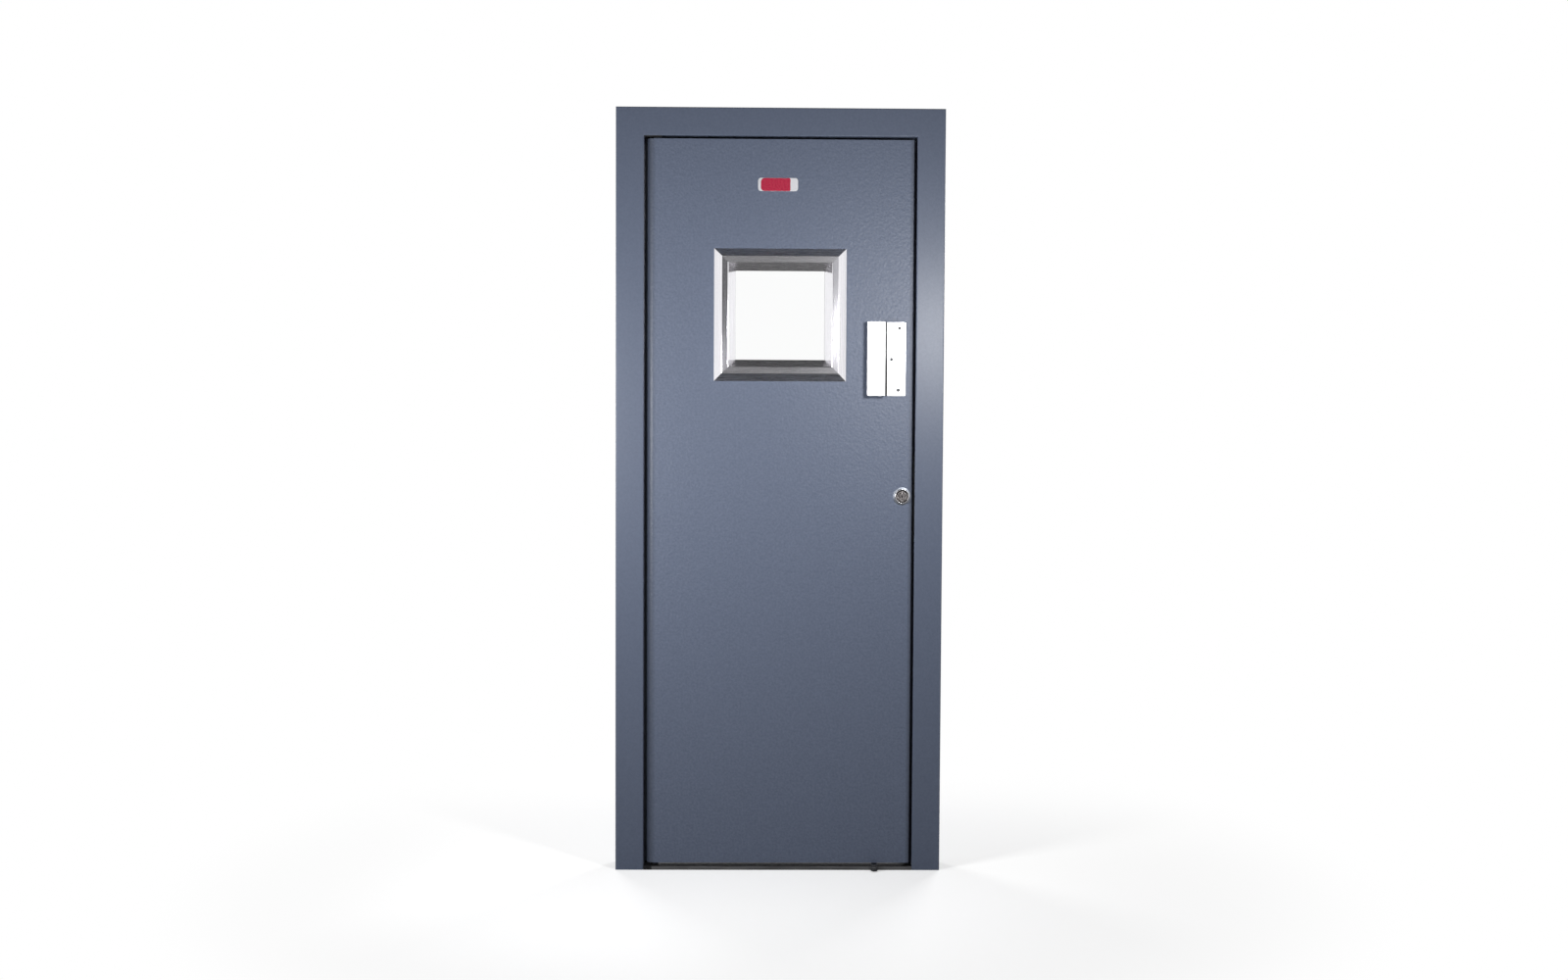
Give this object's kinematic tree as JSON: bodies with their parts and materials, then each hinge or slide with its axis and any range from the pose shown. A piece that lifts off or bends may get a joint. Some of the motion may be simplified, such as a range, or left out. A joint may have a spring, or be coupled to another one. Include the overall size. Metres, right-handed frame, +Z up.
{
  "type": "security door",
  "caption": "Steel security door in its pressed steel frame: glazed square panel, folded pull handle and key lock in one leaf on concealed pivots.",
  "frame": {"origin": "on the floor, midway between the jambs and midway through the frame's depth", "axes": "+Z up, +X to the lock side, -Y out of the front, towards which the leaf opens"},
  "size_m": [0.9, 0.13, 2.1],
  "materials": {
    "frame_steel": "fine textured powder coat, semi-gloss",
    "leaf_steel": "fine textured powder coat, semi-gloss",
    "bare_steel": "zinc coated sheet",
    "sill_steel": "drawn flat bar",
    "lock_steel": "satin",
    "pivot_steel": "black coated, satin",
    "bronze": "turned, oiled",
    "seal_rubber": "matt extruded rubber",
    "foot_rubber": "matt moulded rubber",
    "filling": "paper honeycomb, unfinished",
    "glass": "clear, polished",
    "trim_steel": "brushed stainless",
    "handle_steel": "finely brushed stainless",
    "lock_chrome": "polished",
    "lock_dark": "satin nickel",
    "plate": "gloss enamel"
  },
  "bodies": {
    "frame": {"hinge_jamb": "frame_steel", "lock_jamb": "frame_steel", "frame_head": "frame_steel", "sill": "sill_steel", "hinge_jamb_straps": "bare_steel", "lock_jamb_straps": "bare_steel", "hinge_side_seal": "seal_rubber", "lock_side_seal": "seal_rubber", "head_seal": "seal_rubber", "strike_plate": "lock_steel", "bottom_pivot": "pivot_steel", "top_pivot": "pivot_steel"},
    "leaf": {"leaf_front_skin": "leaf_steel", "leaf_back_skin": "leaf_steel", "leaf_bottom_cap": "bare_steel", "leaf_top_cap": "bare_steel", "glazing_liner": "bare_steel", "lock_case": "bare_steel", "lock_forend": "lock_steel", "lock_bolt": "lock_steel", "bottom_pivot_bush": "bronze", "top_pivot_bush": "bronze", "front_gasket": "seal_rubber", "back_gasket": "seal_rubber", "leaf_foot": "foot_rubber", "leaf_core": "filling", "window_glass": "glass", "front_trim_top": "trim_steel", "front_trim_bottom": "trim_steel", "front_trim_left": "trim_steel", "front_trim_right": "trim_steel", "back_trim_top": "trim_steel", "back_trim_bottom": "trim_steel", "back_trim_left": "trim_steel", "back_trim_right": "trim_steel", "pull_handle": "handle_steel", "lock_rosette": "lock_chrome", "lock_cylinder": "lock_dark", "blank_plate": "plate"},
    "key_plug": {"lock_plug": "lock_dark"}
  },
  "joints": [
    {"name": "leaf_swing", "type": "hinge", "parent": "frame", "child": "leaf", "pos_m": [-0.343, -0.0245, 1.015], "axis": [0, 0, -1], "range_deg": [0, 95]},
    {"name": "key_turn", "type": "hinge", "parent": "leaf", "child": "key_plug", "pos_m": [0.338, -0.0545, 1.0415], "axis": [0, 1, 0], "range_deg": [0, 90]}
  ]
}
